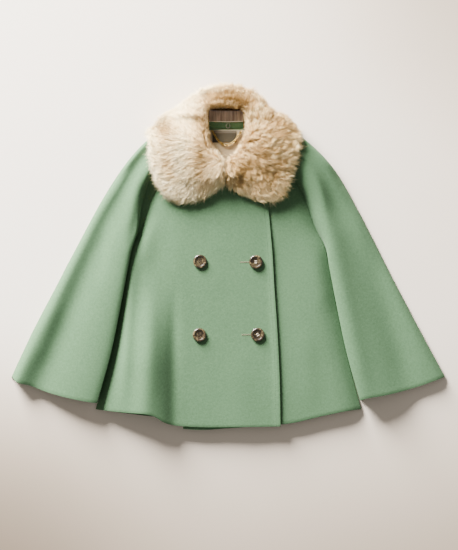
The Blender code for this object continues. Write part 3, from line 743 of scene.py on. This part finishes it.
# The tan attribute carries the pile's own tan and the painted shade inside the neck's roll
tan = tone.make("ShaderNodeAttribute", {"attribute_name": "tan"}, output="Fac")
length_tone = tone.make("ShaderNodeValToRGB", {"stops": ROOT_TO_TIP}, {"Fac": tip * 0.7 + tint * 0.35})
tan_and_shade_tone = tone.make("ShaderNodeValToRGB", {"stops": TAN_SHADES}, {"Fac": tan})
tone.make("ShaderNodeMix", {"data_type": "RGBA"}, {"Factor": tan, 6: length_tone, 7: tan_and_shade_tone},
          output=2).feed(shader, "Base Color")

NECK_CENTRE = (-5.0, 214.0)
# The skin lies this deep under the solid (mm), or this share of the thickness where that is less
PILE = 11.0
PILE_SHARE = 0.42
# The thickness where none is found, and how far inside it is measured from (m)
PELT_THICKNESS = 0.02
PELT_STEP = 0.0004
# The underside isn't drawn in, and the side towards the neck only a little
UNDER_LEAN = -0.6
LEAN_RANGE = 0.7
NECK_SIDE_KEPT = 0.8
# Below this height the two lobes touch, over this half width (mm)
LOBES_BELOW = 200.0
LOBES_WIDTH = 16.0
# Columns: where the outline is drawn towards the neck, x, y, radius, depth (mm)
OUTLINE_DIPS = ((-100, 312, 30, 7), (104, 308, 34, 16), (150, 246, 30, 8), (136, 174, 30, 11),
                (40, 250, 22, -6))

pelt = copy_of("fur_collar", "fur_pelt", crease=0)
apply_modifier(pelt, "SUBSURF", levels=1, render_levels=1)
points = points_of(pelt)
normals = np.array([vertex.normal for vertex in pelt.data.vertices])
inner = tree_of([pelt])
for row, (point, normal) in enumerate(zip(points, normals)):
    depth = inner.ray_cast(Vector(point - normal * PELT_STEP), Vector(-normal))[3]
    depth = PELT_THICKNESS if depth is None else depth
    drawn = min(max((normal[2] - UNDER_LEAN) / LEAN_RANGE, 0.0), 1.0)
    x, y = point[0] / MM - NECK_CENTRE[0], point[1] / MM - NECK_CENTRE[1]
    outward = Vector((x, y, 0.0)).normalized()
    drawn *= 1.0 - NECK_SIDE_KEPT * min(max(-outward.dot(Vector(normal)), 0.0), 1.0)
    if point[1] / MM < LOBES_BELOW:
        drawn *= 1.0 - math.exp(-(x / LOBES_WIDTH) ** 2)
    points[row] = point - normal * min(PILE * MM, PILE_SHARE * depth) * drawn
    for dip_x, dip_y, radius, deep in OUTLINE_DIPS:
        gap = math.hypot(point[0] / MM - dip_x, point[1] / MM - dip_y) / radius
        points[row] -= np.array(outward) * deep * MM * math.exp(-gap * gap)
set_points(pelt, points)
select_only(pelt)
bpy.ops.object.mode_set(mode="EDIT")
bpy.ops.mesh.select_all(action="SELECT")
bpy.ops.mesh.vertices_smooth(factor=0.5, repeat=8)
bpy.ops.object.mode_set(mode="OBJECT")
bpy.ops.object.shade_smooth()
pelt.data.materials.append(fur_skin)
settle(pelt, "fur", "fur_collar")

NECK_OPENING = ((-7, 190), (-17, 208), (-29, 222), (-37, 236), (-41, 256), (-42, 280), (-40, 297),
                (-24, 299.5), (-4, 300), (16, 299.5), (32, 297), (36, 280), (37, 260), (31, 244),
                (22, 226), (9, 203), (-1, 190))
SMOOTH_STRANDS = 39000
CURLY_STRANDS = 24000
EDGE_STRANDS = 5000
SPARE_ROOTS = 2
# A root needs this room over it (m), and nothing at all above it on the top of the roll
ROOT_LIFT = 0.0006
ROOT_ROOM = 0.0025
TOP_LEAN = 0.3
BARE_LEAN = -0.3
# The strands that hang into the neck's opening stand round its edge (mm)
EDGE_PITCH = 0.2
EDGE_SCATTER = 0.8
EDGE_SUNK = 0.5
# How high they stand where nothing lies below them (m)
EDGE_HEIGHT = 0.03
# The curls begin at the middle, along a wavering line (mm)
CURL_FADE = 16.0
CURL_WAVER = 8
CURL_WAVER_PITCH = 23
random = np.random.default_rng(20)


def unit(vectors):
    return vectors / np.maximum(np.linalg.norm(vectors, axis=-1, keepdims=True), 1e-9)


def within(plan, outline):
    """Which points of the plan lie inside a closed outline."""
    found = np.zeros(len(plan), bool)
    for (x0, y0), (x1, y1) in zip(outline, outline[1:] + outline[:1]):
        if y0 != y1:
            level = (y0 > plan[:, 1]) != (y1 > plan[:, 1])
            found ^= level & (plan[:, 0] < (x1 - x0) * (plan[:, 1] - y0) / (y1 - y0) + x0)
    return found


pelt.data.calc_loop_triangles()
corners = points_of(pelt)[np.array([triangle.vertices for triangle in pelt.data.loop_triangles])]
crosses = np.cross(corners[:, 1] - corners[:, 0], corners[:, 2] - corners[:, 0])
areas = np.linalg.norm(crosses, axis=1) / 2
upward = unit(crosses)
areas[upward[:, 2] < BARE_LEAN] = 0.0
tries = (SMOOTH_STRANDS + CURLY_STRANDS) * SPARE_ROOTS
chosen = random.choice(len(areas), size=tries, p=areas / areas.sum())
u, v = random.random((2, len(chosen), 1))
u, v = np.where(u + v > 1, 1 - u, u), np.where(u + v > 1, 1 - v, v)
roots = corners[chosen, 0] * (1 - u - v) + corners[chosen, 1] * u + corners[chosen, 2] * v
skin = upward[chosen]
cloth_above = [fronts["left"], fronts["right"], sleeves["left"], sleeves["right"]]
solid_tree = tree_of([pelt, facing, neck_band] + cloth_above)


def stands_free(root, normal):
    """Whether a hair has room over its root."""
    start = Vector(root + normal * ROOT_LIFT)
    if solid_tree.ray_cast(start, Vector(normal), ROOT_ROOM)[0] is not None:
        return False
    return normal[2] < TOP_LEAN or solid_tree.ray_cast(start, Vector((0.0, 0.0, 1.0)))[0] is None


free = np.array([stands_free(root, normal) for root, normal in zip(roots, skin)])
free &= ~within(roots[:, :2] / MM, NECK_OPENING)
roots, skin = roots[free], skin[free]
edge = random.choice(along(NECK_OPENING, EDGE_PITCH), size=EDGE_STRANDS)
edge = edge + random.normal(size=(EDGE_STRANDS, 2)) * EDGE_SCATTER
edge_skin = np.zeros((EDGE_STRANDS, 3))
edge_skin[:, :2] = -unit(edge - NECK_CENTRE)
edge_skin[:, 2] = 1.0
edge_low = heights(neck_tree, edge, missing=EDGE_HEIGHT) - EDGE_SUNK * MM
edge_row = np.concatenate([np.zeros(len(roots), bool), np.ones(EDGE_STRANDS, bool)])
roots = np.concatenate([roots, np.column_stack([edge * MM, edge_low])])
skin = np.concatenate([skin, unit(edge_skin)])
plan = roots[:, :2] / MM
waver = CURL_WAVER * np.sin(plan[:, 1] / CURL_WAVER_PITCH)
curly = ease(plan[:, 0] + waver, -CURL_FADE, CURL_FADE)
is_curly = random.random(len(roots)) < curly
kept = np.concatenate([np.flatnonzero(~is_curly & ~edge_row)[:SMOOTH_STRANDS],
                       np.flatnonzero(is_curly & ~edge_row)[:CURLY_STRANDS],
                       np.flatnonzero(edge_row)])
roots, skin, plan, curly, is_curly, edge_row = (
    values[kept] for values in (roots, skin, plan, curly, is_curly, edge_row))
count = len(roots)

# How far out from the neck each root lies, in sectors of the collar (degrees)
SECTOR = 6
SECTOR_ENDS = (3, 97)
# The side towards the neck counts in full from this lean, and steep skin is combed upwards
NECK_LEAN = 0.7
STEEP_FLOW = 0.75
# Columns: the swing of the pile's partings (radians), their pitch across and along (mm)
PARTINGS = ((0.30, 15, 27), (0.26, -33, 12))

outward = np.zeros((count, 3))
outward[:, :2] = unit(plan - NECK_CENTRE)
bearing = np.degrees(np.arctan2(outward[:, 1], outward[:, 0])) // SECTOR
distance = np.linalg.norm(plan - NECK_CENTRE, axis=1)
spread = np.zeros(count)
for sector in np.unique(bearing):
    here = bearing == sector
    near, far = np.percentile(distance[here], SECTOR_ENDS)
    spread[here] = np.clip((distance[here] - near) / max(far - near, 1.0), 0.0, 1.0)
inner_side = ease(-(outward * skin).sum(1), 0.0, NECK_LEAN) * ~edge_row
flow = outward - skin * (outward * skin).sum(1)[:, None]
rise = np.array((0.0, 0.0, 1.0)) - skin * skin[:, 2][:, None]
flow = unit(flow + rise * np.maximum(0.0, STEEP_FLOW - np.linalg.norm(flow, axis=1))[:, None])
parting = sum(swing * np.sin(plan[:, 0] / across + plan[:, 1] / along_it)
              for swing, across, along_it in PARTINGS)
swept = np.cross(skin, flow)
flow = flow * np.cos(parting)[:, None] + swept * np.sin(parting)[:, None]

ROOTS_TO_A_TUFT = 15
tufts = random.choice(count, size=count // ROOTS_TO_A_TUFT, replace=False)
finder = KDTree(len(tufts))
for number, root in enumerate(tufts):
    finder.insert(Vector(roots[root]), number)
finder.balance()
owner = np.array([finder.find(Vector(root))[1] for root in roots])
centre = tufts[owner]


def by_tuft(low, high):
    """A random number for each tuft, spread more widely where the pile is curly."""
    return (random.normal(size=len(tufts)) * (low + (high - low) * curly[tufts]))[owner]


def by_curl(smooth, more):
    """A value for each hair, with what the curls add to the smooth pile's."""
    return smooth + more * curly


# How tufts differ from each other: in the smooth pile, in the curls
TUFT_TURN = (0.11, 0.36)
TUFT_LIFT = (0.05, 0.13)
TUFT_REACH = (0.07, 0.12)
TUFT_TAN = (0.14, 0.2)
# How hairs lie: in the smooth pile, and what the curls add (lengths in millimetres)
HAIR_LIFT = (0.38, 0.20)
HAIR_LENGTH = (24.0, -3.0)
HAIR_GATHER = (0.06, 0.15)
HAIR_WAVE = (0.8, 0.9)
HAIR_TWIRL = (0.45, 0.55)
HAIR_TURN = 0.12
LEAST_LIFT = 0.22
# On the side towards the neck the hairs stand up more and are shorter
NECK_LIFT = 0.35
NECK_SHORTER = 0.65
NECK_AHEAD = 0.8
NECK_UP = 0.9
# Hairs at the neck's edge are shorter too, and grow to full length over this stretch (mm)
EDGE_LENGTH = 0.65
EDGE_FULL = (285.0, 296.0)
# Roots lean, tips droop and scatter, and a few stray hairs leave their tuft
ROOT_LEAN = 0.5
TIP_DOWN = 0.12
TIP_DROOP = (0.0, 0.0, -0.42)
TIP_SCATTER = 0.16
STRAY_SHARE = 0.08
STRAY_WANDER = 3.5
HAIR_WANDER = 1.3
# Hairs sway early along their length, less up than across, and gather late
SWAY_POWER = 0.7
SWAY_UP = 0.5
GATHER_POWER = 1.3
# Columns: the least share of a length, a wave or a thickness, and what chance adds
LENGTH_CHANCE = (0.7, 0.5)
WAVE_CHANCE = (0.7, 0.6)
THICK_CHANCE = (0.8, 0.4)


def by_chance(least, more, *shape):
    """A random share for each hair."""
    return least + more * random.random(shape)


turn = by_tuft(*TUFT_TURN) + random.normal(size=count) * HAIR_TURN
lift = np.clip(by_curl(*HAIR_LIFT) + by_tuft(*TUFT_LIFT) + NECK_LIFT * inner_side, LEAST_LIFT, 1.0)
reach = 1.0 + by_tuft(*TUFT_REACH)
phase = random.random(len(tufts))[owner]
axis = unit(np.where(is_curly[:, None], skin[centre], skin))
ahead = np.where(is_curly[:, None], flow[centre], flow)
ahead = unit(ahead - axis * (ahead * axis).sum(1)[:, None])
across = np.cross(axis, ahead)
ahead = ahead * np.cos(turn)[:, None] + across * np.sin(turn)[:, None]
across = np.cross(axis, ahead)

length = MM * by_curl(*HAIR_LENGTH) * reach * by_chance(*LENGTH_CHANCE, count)
length = length * (1 - NECK_SHORTER * inner_side)
edge_share = EDGE_LENGTH + (1 - EDGE_LENGTH) * ease(plan[:, 1], *EDGE_FULL)
length = np.where(edge_row, edge_share * length, length)
stray = random.random(count) < STRAY_SHARE
start = unit(axis * lift[:, None] + ahead * (1 - lift * ROOT_LEAN)[:, None])
finish = unit(ahead * (1 - NECK_AHEAD * inner_side)[:, None]
              + axis * (NECK_UP * inner_side - TIP_DOWN)[:, None]
              + np.array(TIP_DROOP) + random.normal(size=(count, 3)) * TIP_SCATTER)
gather = np.where(stray, 0.0, by_curl(*HAIR_GATHER))
wave = MM * by_curl(*HAIR_WAVE) * by_chance(*WAVE_CHANCE, count)
twirl = by_curl(*HAIR_TWIRL)[centre]
wander = random.normal(size=(count, 3)) * MM * np.where(stray, STRAY_WANDER, HAIR_WANDER)[:, None]


def hair_at(s):
    """Where every hair stands at this share of its length."""
    spin = 2 * np.pi * (twirl * s + phase)
    path = length[:, None] * (start * (s - 0.5 * s * s) + finish * 0.5 * s * s)
    sway = wave * s ** SWAY_POWER
    path = path + across * (sway * (np.sin(spin) - np.sin(2 * np.pi * phase)))[:, None]
    path = path + axis * (SWAY_UP * sway * (np.cos(spin) - np.cos(2 * np.pi * phase)))[:, None]
    pull = (roots[centre] - roots) * (gather * s ** GATHER_POWER)[:, None]
    return roots + path + pull + wander * s


# Columns: where the pile is tan rather than cream, or darkened by painted shade, x, y, half width, half
# height (mm), how much
TAN_AND_SHADE_PLACES = (
    (-118, 252, 26, 26, 1.0), (-116, 184, 20, 30, 0.85), (-44, 196, 26, 46, 0.95),
    # The patches near y 305 to 314, inside the neck's roll, are partly painted shade and partly the
    # pile's own tan
    (-50, 264, 22, 30, 0.85), (-30, 312, 20, 14, 0.8), (4, 314, 36, 20, 1.1),
    (34, 305, 16, 14, 0.5), (34, 236, 18, 26, 0.5), (20, 178, 24, 24, 0.8),
    (72, 170, 24, 24, 0.6), (98, 260, 30, 24, 0.5), (56, 214, 18, 18, 0.4),
)
CURL_TAN = 0.26
# The outer rim is paler, below this height and fading in over this much (mm)
RIM_SPREAD = (0.72, 0.97)
RIM_TOP = 270.0
RIM_FADE = 30.0
RIM_PALE = 0.85
# A hair's tint comes partly from its tuft, and smooth hairs are pale from the root
TUFT_TINT = 0.55
HAIR_TINT = 0.45
SMOOTH_PALE = 0.75
SIDES = 3
SIDE_ANGLES = np.array((0.0, 2.094, 4.189))
GROUND_GAP = 0.5
# Columns: kind of pile, rings along a strand, their radii in millimetres, meshes
PILES = (
    ("smooth", (0.0, 0.5, 1.0), (0.25, 0.22, 0.0), 3),
    ("curly", (0.0, 0.36, 0.72, 1.0), (0.27, 0.26, 0.20, 0.0), 3),
)

ground_tree = tree_of(cloth_above + [wool_back, facing, neck_band, lining_piece])
# The tan is the pile's own colour, with painted shade inside the neck's roll
tan = CURL_TAN * curly
for x, y, wide, high, amount in TAN_AND_SHADE_PLACES:
    tan = tan + amount * np.exp(-((plan[:, 0] - x) / wide) ** 2 - ((plan[:, 1] - y) / high) ** 2)
rim = ease(spread, *RIM_SPREAD) * ease(RIM_TOP - plan[:, 1], 0.0, RIM_FADE)
tan = np.clip(tan * (1 - RIM_PALE * rim) + by_tuft(*TUFT_TAN), 0.0, 1.0)
tint = TUFT_TINT * random.random(len(tufts))[owner] + HAIR_TINT * random.random(count)
for kind, rings, radii, pieces in PILES:
    hairs = np.flatnonzero(is_curly == (kind == "curly"))
    strands = np.stack([hair_at(s)[hairs] for s in rings], axis=1)
    free_ends = strands[:, 1:].reshape(-1, 3)
    ground = heights(ground_tree, free_ends[:, :2] / MM) + GROUND_GAP * MM
    free_ends[:, 2] = np.maximum(free_ends[:, 2], ground)
    strands[:, 1:] = free_ends.reshape(len(hairs), -1, 3)
    tangent = unit(np.gradient(strands, axis=1))
    aside = unit(np.cross(tangent, skin[hairs][:, None]) + 1e-6)
    over = np.cross(aside, tangent)
    thick = (np.array(radii) * MM)[None, :-1, None, None]
    thick = thick * by_chance(*THICK_CHANCE, len(hairs), 1, 1, 1)
    tube = strands[:, :-1, None] + thick * (aside[:, :-1, None] * np.cos(SIDE_ANGLES)[:, None]
                                            + over[:, :-1, None] * np.sin(SIDE_ANGLES)[:, None])
    vertices = np.concatenate([tube.reshape(len(hairs), -1, 3), strands[:, -1:]], axis=1)
    top = SIDES * (len(rings) - 2)
    one = []
    for low in range(0, top, SIDES):
        for k in range(SIDES):
            a, b = low + k, low + (k + 1) % SIDES
            one += [(a, b, b + SIDES), (a, b + SIDES, a + SIDES)]
    one += [(top + k, top + (k + 1) % SIDES, top + SIDES) for k in range(SIDES)]
    each = top + SIDES + 1
    along_hair = np.append(np.repeat(rings[:-1], SIDES), 1.0)
    if kind == "smooth":
        along_hair = SMOOTH_PALE + (1 - SMOOTH_PALE) * along_hair
    order = np.argsort(roots[hairs][:, 1])
    for number, members in enumerate(np.array_split(order, pieces)):
        faces = np.array(one)[None] + (np.arange(len(members)) * each)[:, None, None]
        pile = mesh_piece(f"fur_{kind}_{number + 1}", vertices[members].reshape(-1, 3),
                          faces.reshape(-1, 3), fur_hair)
        for name, values in (("along", np.tile(along_hair, len(members))),
                             ("tint", np.repeat(tint[hairs][members], each)),
                             ("tan", np.repeat(tan[hairs][members], each))):
            attribute = pile.data.attributes.new(name, "FLOAT", "POINT")
            attribute.data.foreach_set("value", values.astype(np.float32))
        settle(pile, "fur")


# Floor, light and camera
# A warm-white sheet of paper, its colour painted with soft shadow pools and with shade below the coat
# and away from the lamp; a large soft lamp from the upper left, and a weak fill.
# The camera looks straight down, so one pixel of a 458 by 550 picture is 2 mm of the coat.

paper, tone, shader = new_material("paper_floor", {"Roughness": 0.9, "Specular IOR Level": 0.2})
where = places(tone)
fleck = noise(where, 3.0, 4.0)
along_floor = tone.make("ShaderNodeSeparateXYZ", {}, {"Vector": where}, output="Y")
across_floor = tone.make("ShaderNodeSeparateXYZ", {}, {"Vector": where}, output="X")

FLOOR_SIZE = 8.0
FLOOR_DROP = 0.0005
# Columns: x, y (m) and depth of the soft painted shadows at the picture's lower left and upper right
SHADE_POOLS = ((-0.55, -0.62, 0.55), (0.60, 0.66, 0.38))
POOL_REACH = (0.08, 0.55)
# Where painted shade lies on the floor below the coat, where the floor is pale again, and where painted
# shade darkens it away from the lamp (m)
LOWER_REACH = (-0.75, -0.1)
LOWER_SHADE = 0.6
BEYOND_REACH = (-0.8, -2.0)
AWAY_REACH = (-0.25, 0.75)
AWAY_SLANT = 0.4
AWAY_SHADE = 0.23
FLECK = 0.06


def blend(value, start, end):
    """0 at one value and 1 at another, eased between."""
    return value.make("ShaderNodeMapRange", {"interpolation_type": "SMOOTHSTEP"},
                      {"Value": value, "From Min": start, "From Max": end})


lower = blend(along_floor, *LOWER_REACH)
beyond = blend(along_floor, *BEYOND_REACH)
away = blend(across_floor + along_floor * AWAY_SLANT, *AWAY_REACH)
# Painted shade: the paper's colour is darkened below the coat, in two pools and away from the lamp
painted_floor_shade = tone.math("MAXIMUM", lower, beyond) * LOWER_SHADE + (1 - LOWER_SHADE)
for x, y, depth in SHADE_POOLS:
    gap = tone.make("ShaderNodeVectorMath", {"operation": "DISTANCE"}, {0: where, 1: (x, y, 0.0)},
                    output="Value")
    painted_floor_shade = painted_floor_shade * (blend(gap, *POOL_REACH) * depth + (1 - depth))
painted_floor_shade = painted_floor_shade * (1.0 - away * AWAY_SHADE)
paint(shader, painted_floor_shade + fleck * FLECK - FLECK / 2, (0.2, (0.20, 0.155, 0.115)),
      (0.45, (0.42, 0.345, 0.27)), (0.7, (0.66, 0.565, 0.465)), (1.0, (0.95, 0.87, 0.77)))
bpy.ops.mesh.primitive_plane_add(size=FLOOR_SIZE, location=(0.0, 0.0, 0.0))
floor = bpy.context.object
floor.name = "paper_floor"
floor.data.transform(Matrix.Translation((0.0, 0.0, -FLOOR_DROP)))
floor.data.materials.append(paper)

KEY_PLACE = (-2.37, 3.58, 1.34)
KEY_SIZE = 2.4
KEY_POWER = 2600.0
LIGHT_COLOUR = (1.0, 0.97, 0.93)
FILL_STRENGTH = 0.38
bpy.ops.object.light_add(type="AREA", location=KEY_PLACE)
key = bpy.context.object
key.data.shape = "DISK"
key.data.size = KEY_SIZE
key.data.energy = KEY_POWER
key.data.color = LIGHT_COLOUR
key.rotation_mode = "QUATERNION"
key.rotation_quaternion = (Vector((0.0, 0.0, 0.0)) - Vector(KEY_PLACE)).to_track_quat("-Z", "Y")

world = bpy.data.worlds.new("studio")
world.use_nodes = True
background = world.node_tree.nodes["Background"]
background.inputs["Color"].default_value = (*LIGHT_COLOUR, 1.0)
background.inputs["Strength"].default_value = FILL_STRENGTH
bpy.context.scene.world = world

# The picture is this tall (m) at the coat's height, seen from this far above it
FRAME_HEIGHT = 1.1
COAT_HEIGHT = 0.02
CAMERA_DISTANCE = 8.0
CAMERA_PLACE = (0.001, -0.034)
SENSOR = 36.0
bpy.ops.object.camera_add(location=(*CAMERA_PLACE, COAT_HEIGHT + CAMERA_DISTANCE),
                          rotation=(0.0, 0.0, 0.0))
camera = bpy.context.object
camera.data.sensor_width = SENSOR
camera.data.lens = SENSOR * CAMERA_DISTANCE / FRAME_HEIGHT
camera.data.clip_end = 100.0
bpy.context.scene.camera = camera
